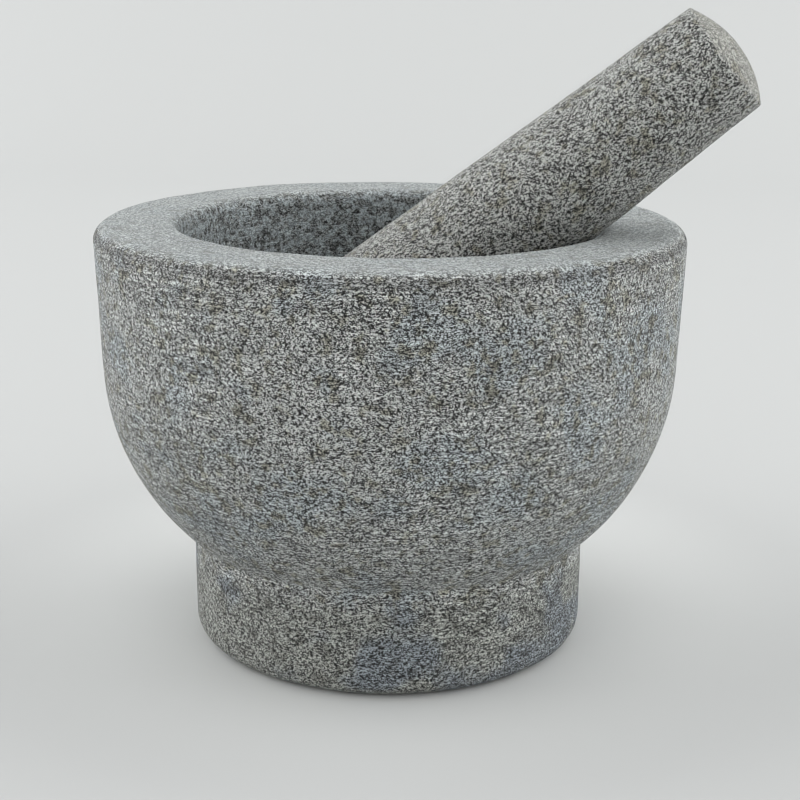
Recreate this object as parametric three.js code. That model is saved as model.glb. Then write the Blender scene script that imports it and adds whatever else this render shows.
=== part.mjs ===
// Turned granite mortar and pestle, in millimetres, +Z up.
// The origin is the centre of the foot's flat underside, on the mortar's axis.
// The pestle leans on the rim towards +X with its grinding end down in the bowl.
import * as THREE from 'three';

// Mortar, outside
const HEIGHT = 110;
const RIM_RADIUS = 75;
const RIM_OUTER_ROUND = 4;
const WALL_TAPER = THREE.MathUtils.degToRad(2);
const BELLY_TOP = 74.5;
const BELLY_RADIUS = 63.5;
const FOOT_RADIUS = 51.5;
const FOOT_ROUND = 6;
const NECK_FILLET = 2.5;

// Mortar, inside: a short straight wall over a hemisphere
const OPENING_RADIUS = 53.8;
const RIM_INNER_ROUND = 3;
const BOWL_FLOOR = 36;

// Pestle: a ball-ended club, thinner towards the domed end that is held
const GRINDING_BALL_RADIUS = 24;
const SHOULDER_RADIUS = 19.8;
const SHOULDER_ROUND = 5;
const HANDLE_END_RADIUS = 14.1;
const HANDLE_END_DOME = 3.5;
const HANDLE_END_ROUND = 0.8;
const BALL_CENTRE_TO_HANDLE_END = 132.1;

// How the pestle lies: its ball centre, its slope, and its bearing from +X towards +Y.
// It clears the rim and the bowl's wall, its two resting points, by about 0.3 mm.
const PESTLE_BALL_CENTRE = new THREE.Vector3(-21.1, -3.2, 69.55);
const PESTLE_SLOPE = THREE.MathUtils.degToRad(39.2);
const PESTLE_BEARING = THREE.MathUtils.degToRad(-9.15);

const MORTAR_SEGMENTS = 72;
const PESTLE_SEGMENTS = 48;
const QUARTER_TURN = Math.PI / 2;

// Points on an arc in the profile plane: x is the distance from the axis, y is along the axis.
// Angles are counter-clockwise from +x. Both ends are included.
function arc(centreX, centreY, radius, startAngle, endAngle, steps) {
  const points = [];
  for (let i = 0; i <= steps; i += 1) {
    const angle = startAngle + ((endAngle - startAngle) * i) / steps;
    points.push(new THREE.Vector2(centreX + radius * Math.cos(angle), centreY + radius * Math.sin(angle)));
  }
  return points;
}

function onAxis(height) {
  return new THREE.Vector2(0, height);
}

// Revolves a profile about +Z.
function turned(profile, segments) {
  const geometry = new THREE.LatheGeometry(profile, segments);
  geometry.rotateX(QUARTER_TURN);
  return geometry;
}

function stone(color) {
  return new THREE.MeshStandardMaterial({ color, roughness: 0.85, metalness: 0 });
}

// The fillet where the belly's arc runs into the upright side of the foot.
function neckFillet(bellyCentre) {
  const x = FOOT_RADIUS + NECK_FILLET;
  const reach = BELLY_RADIUS + NECK_FILLET;
  const drop = Math.sqrt(reach ** 2 - (x - bellyCentre.x) ** 2);
  const y = bellyCentre.y - drop;
  const towardsBelly = Math.atan2(bellyCentre.y - y, bellyCentre.x - x);
  return { x, y, towardsBelly };
}

function mortarProfile() {
  const wallRun = HEIGHT - RIM_OUTER_ROUND - BELLY_TOP;
  const wallFootRadius = RIM_RADIUS - wallRun * Math.tan(WALL_TAPER);
  const bellyCentre = new THREE.Vector2(
    wallFootRadius - BELLY_RADIUS * Math.cos(WALL_TAPER),
    BELLY_TOP + BELLY_RADIUS * Math.sin(WALL_TAPER),
  );
  const neck = neckFillet(bellyCentre);
  const bellyStart = neck.towardsBelly - Math.PI;
  const bowlCentreHeight = BOWL_FLOOR + OPENING_RADIUS;
  return [
    onAxis(0),
    ...arc(FOOT_RADIUS - FOOT_ROUND, FOOT_ROUND, FOOT_ROUND, -QUARTER_TURN, 0, 5),
    ...arc(neck.x, neck.y, NECK_FILLET, Math.PI, neck.towardsBelly, 3),
    ...arc(bellyCentre.x, bellyCentre.y, BELLY_RADIUS, bellyStart, -WALL_TAPER, 12).slice(1),
    ...arc(RIM_RADIUS - RIM_OUTER_ROUND, HEIGHT - RIM_OUTER_ROUND, RIM_OUTER_ROUND, 0, QUARTER_TURN, 4),
    ...arc(
      OPENING_RADIUS + RIM_INNER_ROUND, HEIGHT - RIM_INNER_ROUND, RIM_INNER_ROUND, QUARTER_TURN, Math.PI, 4,
    ),
    ...arc(0, bowlCentreHeight, OPENING_RADIUS, 0, -QUARTER_TURN, 13).slice(0, -1),
    onAxis(BOWL_FLOOR),
  ];
}

// Along y, 0 is the centre of the grinding ball and the handle end is at +y.
function pestleProfile() {
  const shoulderX = SHOULDER_RADIUS - SHOULDER_ROUND;
  const shoulderY = -Math.sqrt((GRINDING_BALL_RADIUS - SHOULDER_ROUND) ** 2 - shoulderX ** 2);
  const shoulderAngle = Math.atan2(shoulderY, shoulderX);
  const domeX = HANDLE_END_RADIUS - HANDLE_END_ROUND;
  const domeRadius = (domeX ** 2 + HANDLE_END_DOME ** 2) / (2 * HANDLE_END_DOME);
  const domeCentreY = BALL_CENTRE_TO_HANDLE_END + HANDLE_END_DOME - domeRadius;
  const domeAngle = Math.acos(domeX / domeRadius);
  return [
    onAxis(-GRINDING_BALL_RADIUS),
    ...arc(0, 0, GRINDING_BALL_RADIUS, -QUARTER_TURN, shoulderAngle, 7).slice(1),
    ...arc(shoulderX, shoulderY, SHOULDER_ROUND, shoulderAngle, 0, 3).slice(1),
    new THREE.Vector2(HANDLE_END_RADIUS, BALL_CENTRE_TO_HANDLE_END - HANDLE_END_ROUND),
    ...arc(0, domeCentreY, domeRadius, domeAngle, QUARTER_TURN, 5).slice(0, -1),
    onAxis(BALL_CENTRE_TO_HANDLE_END + HANDLE_END_DOME),
  ];
}

function mortar() {
  const mesh = new THREE.Mesh(turned(mortarProfile(), MORTAR_SEGMENTS), stone(0x73777a));
  mesh.name = 'mortar';
  return mesh;
}

function pestle() {
  const mesh = new THREE.Mesh(turned(pestleProfile(), PESTLE_SEGMENTS), stone(0x7b7b76));
  mesh.name = 'pestle';
  const direction = new THREE.Vector3(
    Math.cos(PESTLE_SLOPE) * Math.cos(PESTLE_BEARING),
    Math.cos(PESTLE_SLOPE) * Math.sin(PESTLE_BEARING),
    Math.sin(PESTLE_SLOPE),
  );
  mesh.quaternion.setFromUnitVectors(new THREE.Vector3(0, 0, 1), direction);
  mesh.position.copy(PESTLE_BALL_CENTRE);
  return mesh;
}

const mortarAndPestle = new THREE.Group();
mortarAndPestle.add(mortar());
mortarAndPestle.add(pestle());

export default mortarAndPestle;
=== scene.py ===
# A grey granite mortar, turned and honed, with its pestle leaning on the rim, on a pale studio floor.
# Lengths are metres in the part's own frame: +Z up, the origin under the middle of the foot.
import itertools
import math

import bpy
import numpy as np
from mathutils import Matrix, Vector


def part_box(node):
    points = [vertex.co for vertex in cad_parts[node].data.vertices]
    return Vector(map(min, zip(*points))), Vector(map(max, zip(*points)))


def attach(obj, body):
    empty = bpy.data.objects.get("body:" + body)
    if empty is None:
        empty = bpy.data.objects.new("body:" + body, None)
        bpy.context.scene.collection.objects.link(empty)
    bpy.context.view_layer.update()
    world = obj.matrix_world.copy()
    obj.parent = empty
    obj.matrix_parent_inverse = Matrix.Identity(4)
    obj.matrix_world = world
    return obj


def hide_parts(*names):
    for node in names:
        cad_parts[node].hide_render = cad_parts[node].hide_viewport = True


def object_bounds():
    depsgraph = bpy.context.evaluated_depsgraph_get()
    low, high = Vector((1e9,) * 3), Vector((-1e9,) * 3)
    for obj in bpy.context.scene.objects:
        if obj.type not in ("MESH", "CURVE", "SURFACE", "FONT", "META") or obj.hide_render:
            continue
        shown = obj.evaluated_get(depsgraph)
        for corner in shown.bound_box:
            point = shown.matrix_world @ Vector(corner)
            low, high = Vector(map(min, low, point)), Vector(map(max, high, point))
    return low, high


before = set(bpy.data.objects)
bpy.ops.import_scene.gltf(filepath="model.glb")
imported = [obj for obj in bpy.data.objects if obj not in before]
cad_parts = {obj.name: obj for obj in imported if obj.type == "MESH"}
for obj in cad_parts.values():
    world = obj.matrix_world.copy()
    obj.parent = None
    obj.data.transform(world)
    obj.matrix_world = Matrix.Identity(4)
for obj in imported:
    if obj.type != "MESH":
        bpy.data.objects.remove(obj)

CAD_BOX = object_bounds()
MM = 0.001

# Camera: where it stands, how it is turned, and its lens
CAMERA_PLACE = Vector((0.0266, -0.4114, 0.1743))
CAMERA_YAW = math.radians(-3.31)
CAMERA_PITCH = math.radians(15.23)
CAMERA_ROLL = math.radians(0.50)
CAMERA_LENS_MM = 72.95
CAMERA_SENSOR_MM = 36.0

# Mortar, the sizes of part.mjs
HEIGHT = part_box("mortar")[1].z
RIM_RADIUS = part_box("mortar")[1].x
RIM_OUTER_ROUND = 4 * MM
WALL_TAPER = math.radians(2)
BELLY_TOP = 74.5 * MM
BELLY_RADIUS = 63.5 * MM
FOOT_RADIUS = 51.5 * MM
FOOT_ROUND = 6 * MM
NECK_FILLET = 2.5 * MM
OPENING_RADIUS = 53.8 * MM
RIM_INNER_ROUND = 3 * MM
BOWL_FLOOR = 36 * MM

# Pestle, the sizes and the place of part.mjs
GRINDING_BALL_RADIUS = 24 * MM
SHOULDER_RADIUS = 19.8 * MM
SHOULDER_ROUND = 5 * MM
HANDLE_END_RADIUS = 14.1 * MM
HANDLE_END_DOME = 3.5 * MM
HANDLE_END_ROUND = 0.8 * MM
BALL_CENTRE_TO_HANDLE_END = 132.1 * MM
PESTLE_BALL_CENTRE = Vector((-21.1, -3.2, 69.55)) * MM
PESTLE_SLOPE = math.radians(39.2)
PESTLE_BEARING = math.radians(-9.15)

# How finely the stones are meshed, and how near two stretches of an outline are when they meet
MORTAR_SEGMENTS = 400
PESTLE_SEGMENTS = 200
FINE_STEP = 0.9 * MM
INSIDE_STEP = 2 * MM
HIDDEN_STEP = 4 * MM
TOUCHING = 1e-7

# How far the hand-finished stone strays from a true turned surface: (length of a wave, its height)
MORTAR_WAVES = ((38 * MM, 0.16 * MM), (13 * MM, 0.06 * MM), (4 * MM, 0.025 * MM))
PESTLE_WAVES = ((24 * MM, 0.10 * MM), (8 * MM, 0.05 * MM), (3 * MM, 0.02 * MM))
NOISE_CELLS = 64

# Edges that have been knocked: (radius, height, number of chips)
MORTAR_EDGES = (
    (RIM_RADIUS - 1.2 * MM, HEIGHT - 1.2 * MM, 34),
    (OPENING_RADIUS + 0.9 * MM, HEIGHT - 0.9 * MM, 26),
    (FOOT_RADIUS - 1.8 * MM, 1.8 * MM, 30),
)
PESTLE_EDGES = ((HANDLE_END_RADIUS - 0.2 * MM, BALL_CENTRE_TO_HANDLE_END - 0.2 * MM, 16),)
CHIP_SIZE = (0.9 * MM, 2.6 * MM)
CHIP_DEPTH = 0.16

# The look of each stone: its mean colour, the size of its grains and how they are drawn out (a smaller
# number is a longer grain), how light its lightest grains are, how blue its patches are, how strong its
# turning marks are, and its paler top, partly honed stone and partly painted light from above: how strong
# it is, the height from which it begins, and how it tints it
MORTAR_LOOK = {
    "colour": (0.188, 0.195, 0.190),
    "grain": 0.27 * MM,
    "drawn": (1, 1, 1.25),
    "light_grain": 3.25,
    "blue": 1.05,
    "marks": 0.6,
    "honing_and_top_light": 1.0,
    "honed_and_top_lit_from": HEIGHT - 1.4 * MM,
    "honed_and_top_lit_tint": (0.96, 1.0, 1.03),
}
PESTLE_LOOK = {
    "colour": (0.166, 0.170, 0.162),
    "grain": 0.24 * MM,
    "drawn": (1.15, 1.15, 0.8),
    "light_grain": 3.3,
    "blue": 1.0,
    "marks": 0.15,
    "honing_and_top_light": 0.6,
    "honed_and_top_lit_from": BALL_CENTRE_TO_HANDLE_END - 0.6 * MM,
    "honed_and_top_lit_tint": (1.03, 1.0, 0.92),
}

# Granite of both stones. A step is the (from, to) between which a noise, which lies round 0.5, turns from
# one mineral to the other; a share is a weight in a sum; a shade is how much is added to a lightness of 1.
CELL_SHARE = 0.50
WORM_SHARE = 0.30
WORM_STEP = (0.40, 0.60)
LUMP_SHARE = 0.20
LUMP_SIZE = 0.8 * MM
LUMP_STEP = (0.35, 0.65)
GRAIN_STEP = (0.40, 0.65)

CLUSTER_SIZE = 3.4 * MM
CLUSTER_STEP = (0.52, 0.66)
CLUSTER_SHADE = -0.34
CLUSTER_TINT = (1.0, 0.96, 0.82)
PATCH_SIZE = 16 * MM
PATCH_STEP = (0.48, 0.62)
PATCH_SHADE = -0.05

# Spots: the size of the cells that they lie in, how far from a cell's middle one is full and where it ends,
# in cells, and the share of the cells that have one
SPECKS = (1.0 * MM, 0.14, 0.38, 0.28)
SPECK_DARKNESS = 0.8
PICK_EDGE = 0.001
# Glints are painted highlights: light spots put into the colour of the stone
PAINTED_GLINTS = (0.9 * MM, 0.12, 0.30, 0.03)
PAINTED_GLINT_LIGHT = 0.7

# Lathe marks: how often they change round the stone, how far apart they are, and the areas that show them
MARK_CHANGES = 9
MARK_SPACING = 0.42 * MM
MARK_STEP = (0.38, 0.68)
MARKED_SIZE = 30 * MM
MARKED_STEP = (0.35, 0.65)
MARKED_LEAST = 0.4

# Paler top, partly honed stone and partly painted light from above: the height over which it comes in,
# how it evens out the grains and lightens them, and its tint
HONED_AND_TOP_LIT_RUN = 1.2 * MM
HONED_AND_TOP_LIT_GRAIN = -0.40
HONED_AND_TOP_LIT_LIGHT = 0.83
HONED_AND_TOP_LIT_TINT_SHARE = 0.8

# Inside of the bowl, darker and bluer as painted shade in the hollow: where it begins, its dark
# blotches, and how it evens out the grains
BOWL_EDGE = 2 * MM
BOWL_RISE = 6 * MM
BLOTCH_SIZE = 1.7 * MM
BLOTCH_STEP = (0.42, 0.60)
BLOTCH_SHADE = -0.80
BOWL_GRAIN = -0.40
BOWL_LIGHT = 0.74
BOWL_TINT = (0.85, 0.92, 0.97)
BLOTCH_TINT = (0.90, 0.93, 0.93)

# Foot, darkened by painted shade under the belly and patchy in tone, and a line of painted shade
# under the rim, on the outside of the mortar
FOOT_TOP = 28 * MM
FOOT_FULL = 20 * MM
FOOT_PAINTED_SHADE = -0.22
FOOT_PATCH_SHADE = -0.14
FOOT_TINT = (1.0, 1.0, 0.94)
FOOT_PATCH_TINT = (0.90, 0.98, 1.10)
FOOT_TINT_SHARE = 0.8
# A dark line of painted shade just under the rim's rounded edge, outside: its heights, radii and depth
RIM_LINE_LOW = (HEIGHT - 4.2 * MM, HEIGHT - 2.8 * MM)
RIM_LINE_HIGH = (HEIGHT - 0.9 * MM, HEIGHT - 1.9 * MM)
RIM_LINE_OUTSIDE = (OPENING_RADIUS + 6 * MM, OPENING_RADIUS + 9 * MM)
RIM_LINE_PAINTED_SHADE = -0.38

# Relief of the grains
RELIEF_STRENGTH = 0.8
RELIEF_DEPTH = 0.12 * MM
SPECK_RELIEF = -0.8
MARK_RELIEF = 0.25
CLUSTER_RELIEF = -0.2
ROUGHNESS_STEP = (0.3, 1.0)
ROUGHNESS = (0.75, 0.55)


# ---------------------------------------------------------------- camera

def make_camera():
    """The camera stands in front of the mortar and looks a little down into it."""
    ahead = Vector((
        math.sin(CAMERA_YAW) * math.cos(CAMERA_PITCH),
        math.cos(CAMERA_YAW) * math.cos(CAMERA_PITCH),
        -math.sin(CAMERA_PITCH),
    ))
    level_right = Vector((math.cos(CAMERA_YAW), -math.sin(CAMERA_YAW), 0))
    level_up = level_right.cross(ahead)
    right = level_right * math.cos(CAMERA_ROLL) + level_up * math.sin(CAMERA_ROLL)
    up = right.cross(ahead)
    turn = Matrix((right, up, -ahead)).transposed().to_4x4()
    data = bpy.data.cameras.new("camera")
    data.lens = CAMERA_LENS_MM
    data.sensor_width = CAMERA_SENSOR_MM
    camera = bpy.data.objects.new("camera", data)
    camera.matrix_world = Matrix.Translation(CAMERA_PLACE) @ turn
    bpy.context.scene.collection.objects.link(camera)
    bpy.context.scene.camera = camera


# ---------------------------------------------------------------- shapes

def arc(centre, radius, start, end, step):
    """Points (distance from the axis, height) on an arc, about one step apart, both ends included."""
    count = max(2, math.ceil(abs(end - start) * radius / step))
    angles = np.linspace(start, end, count + 1)
    return np.column_stack((centre[0] + radius * np.cos(angles), centre[1] + radius * np.sin(angles)))


def straight(start, end, step):
    """Points on a straight line, about one step apart, both ends included."""
    count = max(1, math.ceil(math.dist(start, end) / step))
    share = np.linspace(0, 1, count + 1)[:, None]
    return np.array(start) * (1 - share) + np.array(end) * share


def joined(*stretches):
    """One outline from stretches that meet end to end, with a straight run across any gap."""
    outline = stretches[0]
    for stretch in stretches[1:]:
        gap = math.dist(outline[-1], stretch[0])
        if gap > FINE_STEP:
            outline = np.vstack((outline, straight(outline[-1], stretch[0], FINE_STEP)[1:-1]))
        skip = 1 if gap < TOUCHING else 0
        outline = np.vstack((outline, stretch[skip:]))
    return outline


def mortar_outline():
    """The mortar's outline from the middle of its underside, up the outside, to the bowl's floor."""
    quarter = math.pi / 2
    wall_run = HEIGHT - RIM_OUTER_ROUND - BELLY_TOP
    wall_foot_radius = RIM_RADIUS - wall_run * math.tan(WALL_TAPER)
    belly = (
        wall_foot_radius - BELLY_RADIUS * math.cos(WALL_TAPER),
        BELLY_TOP + BELLY_RADIUS * math.sin(WALL_TAPER),
    )
    neck_x = FOOT_RADIUS + NECK_FILLET
    neck_y = belly[1] - math.sqrt((BELLY_RADIUS + NECK_FILLET) ** 2 - (neck_x - belly[0]) ** 2)
    neck_angle = math.atan2(belly[1] - neck_y, belly[0] - neck_x)
    bowl_centre = (0, BOWL_FLOOR + OPENING_RADIUS)
    return joined(
        straight((0, 0), (FOOT_RADIUS - FOOT_ROUND, 0), HIDDEN_STEP),
        arc((FOOT_RADIUS - FOOT_ROUND, FOOT_ROUND), FOOT_ROUND, -quarter, 0, FINE_STEP),
        arc((neck_x, neck_y), NECK_FILLET, math.pi, neck_angle, FINE_STEP / 2),
        arc(belly, BELLY_RADIUS, neck_angle - math.pi, -WALL_TAPER, FINE_STEP),
        arc((RIM_RADIUS - RIM_OUTER_ROUND, HEIGHT - RIM_OUTER_ROUND), RIM_OUTER_ROUND,
            0, quarter, FINE_STEP / 2),
        arc((OPENING_RADIUS + RIM_INNER_ROUND, HEIGHT - RIM_INNER_ROUND), RIM_INNER_ROUND,
            quarter, math.pi, FINE_STEP / 2),
        arc(bowl_centre, OPENING_RADIUS, 0, -quarter, INSIDE_STEP),
    )


def pestle_outline():
    """The pestle's outline from its grinding end to its handle end; height 0 is the ball's centre."""
    quarter = math.pi / 2
    shoulder_x = SHOULDER_RADIUS - SHOULDER_ROUND
    shoulder_y = -math.sqrt((GRINDING_BALL_RADIUS - SHOULDER_ROUND) ** 2 - shoulder_x ** 2)
    shoulder_angle = math.atan2(shoulder_y, shoulder_x)
    dome_x = HANDLE_END_RADIUS - HANDLE_END_ROUND
    dome_radius = (dome_x ** 2 + HANDLE_END_DOME ** 2) / (2 * HANDLE_END_DOME)
    dome_centre = (0, BALL_CENTRE_TO_HANDLE_END + HANDLE_END_DOME - dome_radius)
    arris_centre = (dome_x, BALL_CENTRE_TO_HANDLE_END - HANDLE_END_ROUND)
    dome_angle = math.acos(dome_x / dome_radius)
    return joined(
        arc((0, 0), GRINDING_BALL_RADIUS, -quarter, shoulder_angle, FINE_STEP),
        arc((shoulder_x, shoulder_y), SHOULDER_ROUND, shoulder_angle, 0, FINE_STEP),
        arc(arris_centre, HANDLE_END_ROUND, 0, dome_angle, FINE_STEP / 3),
        arc(dome_centre, dome_radius, dome_angle, quarter, FINE_STEP / 2),
    )


def smooth_noise(points, cell, seed):
    """Seeded noise from -1 to 1 at each point, in soft lumps about one cell across."""
    lattice = np.random.default_rng(seed).uniform(-1, 1, (NOISE_CELLS,) * 3)
    place = points / cell
    low = np.floor(place).astype(int)
    part = place - low
    part = part * part * (3 - 2 * part)
    total = np.zeros(len(points))
    for corner in itertools.product((0, 1), repeat=3):
        share = np.where(corner, part, 1 - part).prod(axis=1)
        near = (low + corner) % NOISE_CELLS
        total += share * lattice[near[:, 0], near[:, 1], near[:, 2]]
    return total


def turned_points(outline, segments):
    """The outline's inner points turned about the axis, row by row, with the axis points last.
    Returns the points, their outward normals and how far along the outline each one is."""
    along = np.concatenate(([0], np.cumsum(np.hypot(*np.diff(outline, axis=0).T))))
    ahead = np.gradient(outline, along, axis=0)
    side = np.column_stack((ahead[:, 1], -ahead[:, 0]))
    side /= np.linalg.norm(side, axis=1)[:, None]
    angles = np.linspace(0, 2 * math.pi, segments, endpoint=False)
    turns = np.column_stack((np.cos(angles), np.sin(angles)))

    def swept(pairs):
        around = pairs[:, None, :1] * turns[None]
        up = np.broadcast_to(pairs[:, None, 1:], (len(pairs), segments, 1))
        return np.concatenate((around, up), axis=2).reshape(-1, 3)

    ends = outline[[0, -1]]
    points = np.vstack((swept(outline[1:-1]), np.column_stack((ends[:, 0], [0, 0], ends[:, 1]))))
    facing = np.sign(side[[0, -1], 1])
    normals = np.vstack((swept(side[1:-1]), np.column_stack(([0, 0], [0, 0], facing))))
    run = np.concatenate((np.repeat(along[1:-1], segments), along[[0, -1]]))
    return points, normals, run


def turned_faces(rows, segments):
    """Quads between neighbouring rows and a fan at each end."""
    column = np.arange(segments)
    following = (column + 1) % segments
    faces = []
    for row in range(rows - 1):
        low = row * segments
        high = low + segments
        faces += np.column_stack((low + column, low + following, high + following, high + column)).tolist()
    first_end = rows * segments
    last_row = (rows - 1) * segments
    for here, there in zip(column.tolist(), following.tolist()):
        faces.append([first_end, there, here])
        faces.append([first_end + 1, last_row + here, last_row + there])
    return faces


def chips(points, radius, height, count, rng):
    """How deep each point lies in small bites out of the edge that runs round at that radius and height."""
    depth = np.zeros(len(points))
    for _ in range(count):
        angle = rng.uniform(0, 2 * math.pi)
        size = rng.uniform(*CHIP_SIZE)
        middle = (radius * math.cos(angle), radius * math.sin(angle), height + rng.uniform(-size, size) / 2)
        inside = np.clip(1 - ((points - middle) ** 2).sum(axis=1) / size ** 2, 0, 1)
        depth = np.maximum(depth, inside ** 2 * size * CHIP_DEPTH)
    return depth


def stone_piece(name, outline, segments, waves, edges, seed):
    """A turned stone whose surface strays from the true shape by the waves, with chips along its edges.
    Its material reads each point's place on the true shape from two attributes."""
    points, normals, run = turned_points(outline, segments)
    rise = np.zeros(len(points))
    for number, (length, height) in enumerate(waves):
        rise += height * smooth_noise(points, length / 2, seed + number)
    rng = np.random.default_rng(seed)
    for radius, height, count in edges:
        rise -= chips(points, radius, height, count, rng)
    mesh = bpy.data.meshes.new(name)
    shaped = points + normals * rise[:, None]
    shaped[:, 2] = np.maximum(shaped[:, 2], outline[0][1])
    mesh.from_pydata(shaped, [], turned_faces(len(outline) - 2, segments))
    place = mesh.attributes.new("stone_place", "FLOAT_VECTOR", "POINT")
    place.data.foreach_set("vector", points.ravel())
    travelled = mesh.attributes.new("stone_run", "FLOAT", "POINT")
    travelled.data.foreach_set("value", run)
    mesh.shade_smooth()
    piece = bpy.data.objects.new(name, mesh)
    bpy.context.scene.collection.objects.link(piece)
    return piece


def make_mortar():
    outline = mortar_outline()
    piece = stone_piece("mortar_stone", outline, MORTAR_SEGMENTS, MORTAR_WAVES, MORTAR_EDGES, seed=11)
    piece.data.materials.append(granite("mortar_granite", MORTAR_LOOK, hollow=True))
    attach(piece, "mortar")
    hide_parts("mortar")


def make_pestle():
    outline = pestle_outline()
    piece = stone_piece("pestle_stone", outline, PESTLE_SEGMENTS, PESTLE_WAVES, PESTLE_EDGES, seed=29)
    piece.data.materials.append(granite("pestle_granite", PESTLE_LOOK, hollow=False))
    direction = Vector((
        math.cos(PESTLE_SLOPE) * math.cos(PESTLE_BEARING),
        math.cos(PESTLE_SLOPE) * math.sin(PESTLE_BEARING),
        math.sin(PESTLE_SLOPE),
    ))
    turn = Vector((0, 0, 1)).rotation_difference(direction).to_matrix().to_4x4()
    piece.data.transform(Matrix.Translation(PESTLE_BALL_CENTRE) @ turn)
    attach(piece, "pestle")
    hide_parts("pestle")


# ---------------------------------------------------------------- granite

class Nodes:
    """Short ways to add shader nodes to one material and join them up."""

    def __init__(self, material):
        material.use_nodes = True
        self.tree = material.node_tree
        self.tree.nodes.clear()

    def add(self, kind, inputs, **settings):
        made = self.tree.nodes.new("ShaderNode" + kind)
        for name, value in settings.items():
            setattr(made, name, value)
        for name, value in inputs.items():
            if isinstance(value, bpy.types.NodeSocket):
                self.tree.links.new(value, made.inputs[name])
            else:
                made.inputs[name].default_value = value
        return made

    def math(self, operation, first, second=0.0):
        return self.add("Math", {0: first, 1: second}, operation=operation).outputs[0]

    def total(self, *parts):
        """The sum of (value, weight) pairs."""
        sum_so_far = 0.0
        for value, weight in parts:
            inputs = {0: value, 1: weight, 2: sum_so_far}
            sum_so_far = self.add("Math", inputs, operation="MULTIPLY_ADD").outputs[0]
        return sum_so_far

    def vector(self, operation, first, second):
        return self.add("VectorMath", {0: first, 1: second}, operation=operation).outputs[0]

    def noise(self, vector, size, detail=0.0):
        """Soft lumps about size across, as a value round 0.5."""
        inputs = {"Vector": vector, "Scale": 1 / size, "Detail": detail}
        return self.add("TexNoise", inputs).outputs["Fac"]

    def cells(self, vector, size):
        """Crystals about size across: distance from each one's middle, and a random number for it."""
        made = self.add("TexVoronoi", {"Vector": vector, "Scale": 1 / size})
        split = self.add("SeparateColor", {0: made.outputs["Color"]})
        return made.outputs["Distance"], split.outputs[0]

    def ramp(self, value, low, high, bottom=0.0, top=1.0):
        """A smooth step from bottom to top as value goes from low to high."""
        inputs = {"Value": value, "From Min": low, "From Max": high, "To Min": bottom, "To Max": top}
        return self.add("MapRange", inputs, interpolation_type="SMOOTHSTEP").outputs[0]

    def mix(self, share, first, second, blend="MIX"):
        inputs = {0: share, 6: first, 7: second}
        return self.add("Mix", inputs, data_type="RGBA", blend_type=blend).outputs[2]

    def spots(self, vector, size, middle, edge, share):
        """Round spots in a share of the cells: 1 within middle of a cell's centre, 0 beyond edge."""
        distance, pick = self.cells(vector, size)
        picked = self.ramp(pick, 1 - share, 1 - share + PICK_EDGE)
        return self.math("MULTIPLY", self.ramp(distance, edge, middle), picked)


def tinted(colour, tint):
    """The colour times the tint, with the alpha that a colour socket takes."""
    return (*(part * share for part, share in zip(colour, tint)), 1)


def grains(n, drawn, size):
    """A value round 0.5 that changes from grain to grain, low in dark mineral and high in light."""
    _, cells = n.cells(drawn, size)
    worms = n.ramp(n.noise(drawn, size), *WORM_STEP)
    lumps = n.ramp(n.noise(drawn, LUMP_SIZE), *LUMP_STEP)
    return n.total((cells, CELL_SHARE), (worms, WORM_SHARE), (lumps, LUMP_SHARE))


def lathe_marks(n, place, across, run):
    """Fine lines round the stone, from -0.5 in dark ones to 0.5 in light ones."""
    bearing = n.add("VectorMath", {0: across}, operation="NORMALIZE").outputs[0]
    bearing = n.vector("MULTIPLY", bearing, (MARK_CHANGES, MARK_CHANGES, 0))
    line = n.add("CombineXYZ", {2: n.math("MULTIPLY", run, 1 / MARK_SPACING)}).outputs[0]
    marks = n.ramp(n.noise(n.vector("ADD", bearing, line), 1.0, detail=1.0), *MARK_STEP, -0.5, 0.5)
    marked = n.ramp(n.noise(place, MARKED_SIZE), *MARKED_STEP, MARKED_LEAST, 1.0)
    return n.math("MULTIPLY", marks, marked)


def inside_of_bowl(n, place, radius, height, colour, light, tint):
    """The light and the tint, with the bowl's inside laid over them: blotched, with evened grains, and
    darker and bluer as painted shade in the hollow.
    """
    inside = n.math(
        "MULTIPLY",
        n.ramp(radius, OPENING_RADIUS + BOWL_EDGE, OPENING_RADIUS),
        n.ramp(height, BOWL_FLOOR - BOWL_RISE, BOWL_FLOOR),
    )
    blotch = n.ramp(n.noise(place, BLOTCH_SIZE, detail=2.0), *BLOTCH_STEP)
    # Painted shade in the hollow: the inside is made darker and its grains evened, with dark blotches
    evened = n.total((light, BOWL_GRAIN), (blotch, BLOTCH_SHADE), (BOWL_LIGHT, 1.0))
    light = n.total((n.math("MULTIPLY", inside, evened), 1.0), (light, 1.0))
    # Painted shade in the hollow also makes the inside bluer
    inside_tint = n.mix(blotch, tinted(colour, BOWL_TINT), tinted(colour, BLOTCH_TINT))
    return light, n.mix(inside, tint, inside_tint)


def outside_of_mortar(n, patch, radius, height, colour, light, tint):
    """The light and the tint, with the foot darkened by painted shade under the belly and patchy in tone,
    and a line of painted shade under the rim, laid over them.
    """
    foot = n.ramp(height, FOOT_TOP, FOOT_FULL)
    rim_shade_line = n.math("MULTIPLY", n.ramp(height, *RIM_LINE_LOW), n.ramp(height, *RIM_LINE_HIGH))
    rim_shade_line = n.math("MULTIPLY", rim_shade_line, n.ramp(radius, *RIM_LINE_OUTSIDE))
    # Painted shade: the foot darker under the belly, and a dark line under the rim's rounded edge
    shade = n.total(
        (foot, FOOT_PAINTED_SHADE),
        (n.math("MULTIPLY", foot, patch), FOOT_PATCH_SHADE),
        (rim_shade_line, RIM_LINE_PAINTED_SHADE),
        (1.0, 1.0),
    )
    foot_tint = n.mix(patch, tinted(colour, FOOT_TINT), tinted(colour, FOOT_PATCH_TINT))
    tint = n.mix(n.math("MULTIPLY", foot, FOOT_TINT_SHARE), tint, foot_tint)
    return n.math("MULTIPLY", light, shade), tint


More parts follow.
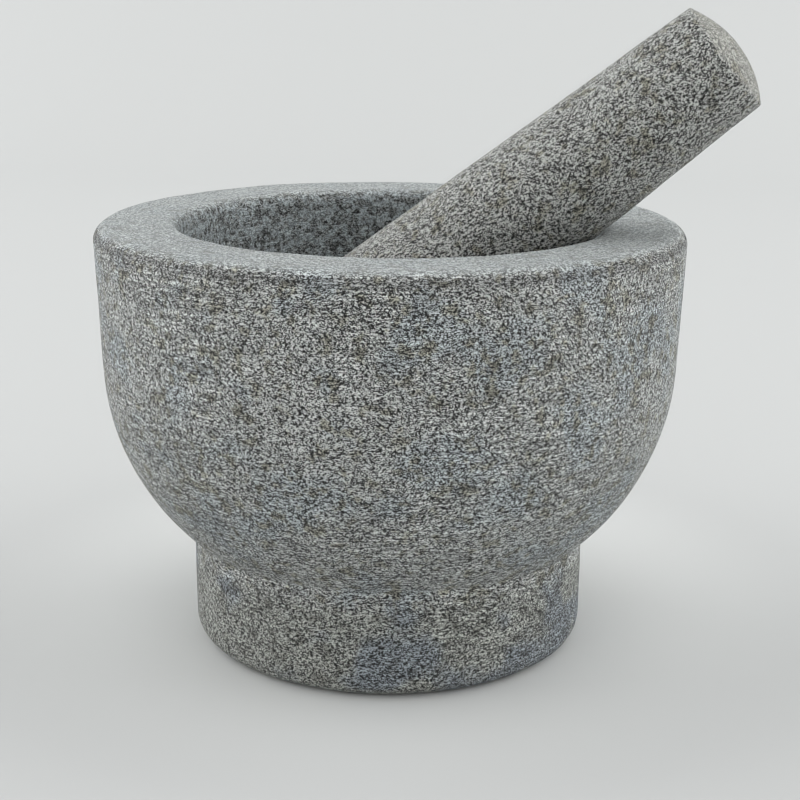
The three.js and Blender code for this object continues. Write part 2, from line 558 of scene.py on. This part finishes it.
def granite(name, look, hollow):
    """Fine-grained grey granite: grains under half a millimetre, clusters of dark minerals, bluish patches,
    faint turning marks, painted glints, and a paler top that is partly honed stone and partly painted light
    from above. A hollow stone gets a mortar's inside and foot too, each darkened with painted shade."""
    material = bpy.data.materials.new(name)
    n = Nodes(material)
    colour = look["colour"]
    place = n.add("Attribute", {}, attribute_name="stone_place").outputs["Vector"]
    run = n.add("Attribute", {}, attribute_name="stone_run").outputs["Fac"]
    height = n.add("SeparateXYZ", {0: place}).outputs[2]
    across = n.vector("MULTIPLY", place, (1, 1, 0))
    drawn = n.vector("MULTIPLY", place, look["drawn"])

    crystals = grains(n, drawn, look["grain"])
    streak = lathe_marks(n, place, across, run)
    cluster = n.ramp(n.noise(place, CLUSTER_SIZE, detail=5.0), *CLUSTER_STEP)
    patch = n.ramp(n.noise(place, PATCH_SIZE, detail=2.0), *PATCH_STEP)
    specks = n.spots(place, *SPECKS)
    painted_glints = n.spots(drawn, *PAINTED_GLINTS)

    light = n.ramp(crystals, *GRAIN_STEP, 0.0, look["light_grain"])
    shade = n.total((cluster, CLUSTER_SHADE), (streak, look["marks"]), (patch, PATCH_SHADE))
    light = n.math("MULTIPLY", light, n.math("ADD", shade, 1.0))
    speckled = n.math("SUBTRACT", 1.0, n.math("MULTIPLY", specks, SPECK_DARKNESS))
    light = n.math("MULTIPLY", light, speckled)
    # Painted glints: highlights added to the lightness
    light = n.total((painted_glints, PAINTED_GLINT_LIGHT), (light, 1.0))
    # Paler top: partly honed stone, partly painted light from above, lightening and evening the grains
    honed_and_top_lit = n.ramp(height, look["honed_and_top_lit_from"], look["honed_and_top_lit_from"] + HONED_AND_TOP_LIT_RUN)
    honed_and_top_lit = n.math("MULTIPLY", honed_and_top_lit, look["honing_and_top_light"])
    evened = n.total((light, HONED_AND_TOP_LIT_GRAIN), (HONED_AND_TOP_LIT_LIGHT, 1.0))
    light = n.total((light, 1.0), (n.math("MULTIPLY", honed_and_top_lit, evened), 1.0))

    blue_patch = tinted(colour, (2 - look["blue"], 1, look["blue"]))
    tint = n.mix(patch, tinted(colour, (1, 1, 1)), blue_patch)
    tint = n.mix(cluster, tint, tinted(colour, CLUSTER_TINT))
    honed_and_top_lit_share = n.math("MULTIPLY", honed_and_top_lit, HONED_AND_TOP_LIT_TINT_SHARE)
    tint = n.mix(honed_and_top_lit_share, tint, tinted(colour, look["honed_and_top_lit_tint"]))
    if hollow:
        radius = n.add("VectorMath", {0: across}, operation="LENGTH").outputs[1]
        light, tint = inside_of_bowl(n, place, radius, height, colour, light, tint)
        light, tint = outside_of_mortar(n, patch, radius, height, colour, light, tint)
    grey = n.add("CombineColor", {0: light, 1: light, 2: light}).outputs[0]
    shown = n.mix(1.0, tint, grey, blend="MULTIPLY")

    relief = n.total(
        (crystals, 1.0),
        (specks, SPECK_RELIEF),
        (streak, MARK_RELIEF),
        (cluster, CLUSTER_RELIEF),
    )
    bump = n.add("Bump", {"Strength": RELIEF_STRENGTH, "Distance": RELIEF_DEPTH, "Height": relief})
    rough = n.ramp(crystals, *ROUGHNESS_STEP, *ROUGHNESS)
    shader = n.add("BsdfPrincipled", {"Base Color": shown, "Roughness": rough, "Normal": bump.outputs[0]})
    n.add("OutputMaterial", {"Surface": shader.outputs[0]})
    return material


# ---------------------------------------------------------------- stage

# The sheet lies a hair below the foot, so that the two faces never coincide
FLOOR_LEVEL = -0.05 * MM
FLOOR_HALF_WIDTH = 4.0
FLOOR_FRONT = -4.0
SWEEP_START = 0.9
SWEEP_RADIUS = 0.7
BACKDROP_TOP = 2.2
BEND_POINTS = 25
FLOOR_COLOUR = (0.515, 0.525, 0.522, 1)
FLOOR_COLOUR_PAINTED_LIGHT_NEAR_FOOT = (0.62, 0.632, 0.625, 1)
FLOOR_ROUGHNESS = 0.9
# The paler area, painted light that lifts the mortar's shadow round the foot: its middle, and the
# distances at which it begins and is full
PAINTED_LIGHT_MIDDLE = (0, 25 * MM, 0)
PAINTED_LIGHT_STEP = (130 * MM, 70 * MM)

# Softboxes: name, place, width, height in metres, and power in watts
SOFTBOXES = (
    ("overhead", (0, 0.35, 2.2), 2.6, 2.2, 9),
    ("left", (-1.8, 0.3, 0.85), 2.2, 1.6, 21.5),
    ("right", (1.8, 0.35, 0.85), 2.2, 1.6, 21),
)
ROOM_LIGHT = 0.93
PIXEL_FILTER_WIDTH = 1.1


def make_floor():
    """A pale sheet that lies under the mortar and sweeps up behind it; round the foot it is paler, painted
    light that lifts the mortar's shadow.
    """
    turn = np.linspace(-math.pi / 2, 0, BEND_POINTS)
    bend = [
        (SWEEP_START + SWEEP_RADIUS * math.cos(angle), SWEEP_RADIUS + SWEEP_RADIUS * math.sin(angle))
        for angle in turn
    ]
    side = [(FLOOR_FRONT, 0.0), *bend, (SWEEP_START + SWEEP_RADIUS, BACKDROP_TOP)]
    points = [(x, y, z) for y, z in side for x in (-FLOOR_HALF_WIDTH, FLOOR_HALF_WIDTH)]
    faces = [(2 * i, 2 * i + 1, 2 * i + 3, 2 * i + 2) for i in range(len(side) - 1)]
    mesh = bpy.data.meshes.new("floor")
    mesh.from_pydata(points, [], faces)
    mesh.shade_smooth()
    material = bpy.data.materials.new("floor_paper")
    n = Nodes(material)
    place = n.add("TexCoord", {}).outputs["Object"]
    distance = n.add("VectorMath", {0: place, 1: PAINTED_LIGHT_MIDDLE}, operation="DISTANCE").outputs[1]
    # Painted light: the sheet is paler round the foot, where the mortar's shadow falls
    colour = n.mix(n.ramp(distance, *PAINTED_LIGHT_STEP), FLOOR_COLOUR, FLOOR_COLOUR_PAINTED_LIGHT_NEAR_FOOT)
    shader = n.add("BsdfPrincipled", {"Base Color": colour, "Roughness": FLOOR_ROUGHNESS})
    n.add("OutputMaterial", {"Surface": shader.outputs[0]})
    mesh.materials.append(material)
    floor = bpy.data.objects.new("floor", mesh)
    floor.location.z = FLOOR_LEVEL
    bpy.context.scene.collection.objects.link(floor)


def softbox(name, place, target, width, height, power):
    data = bpy.data.lights.new(name, "AREA")
    data.shape = "RECTANGLE"
    data.size = width
    data.size_y = height
    data.energy = power
    light = bpy.data.objects.new(name, data)
    light.location = place
    light.rotation_mode = "QUATERNION"
    light.rotation_quaternion = (Vector(target) - Vector(place)).to_track_quat("-Z", "Y")
    bpy.context.scene.collection.objects.link(light)


def make_light():
    middle = (CAD_BOX[0] + CAD_BOX[1]) / 2
    for name, place, width, height, power in SOFTBOXES:
        softbox(name, place, middle, width, height, power)
    world = bpy.data.worlds.new("studio")
    world.use_nodes = True
    world.node_tree.nodes["Background"].inputs["Color"].default_value = (1, 1, 1, 1)
    world.node_tree.nodes["Background"].inputs["Strength"].default_value = ROOM_LIGHT
    bpy.context.scene.world = world
    bpy.context.scene.view_settings.view_transform = "Standard"
    bpy.context.scene.cycles.filter_width = PIXEL_FILTER_WIDTH


make_camera()
make_mortar()
make_pestle()
make_floor()
make_light()
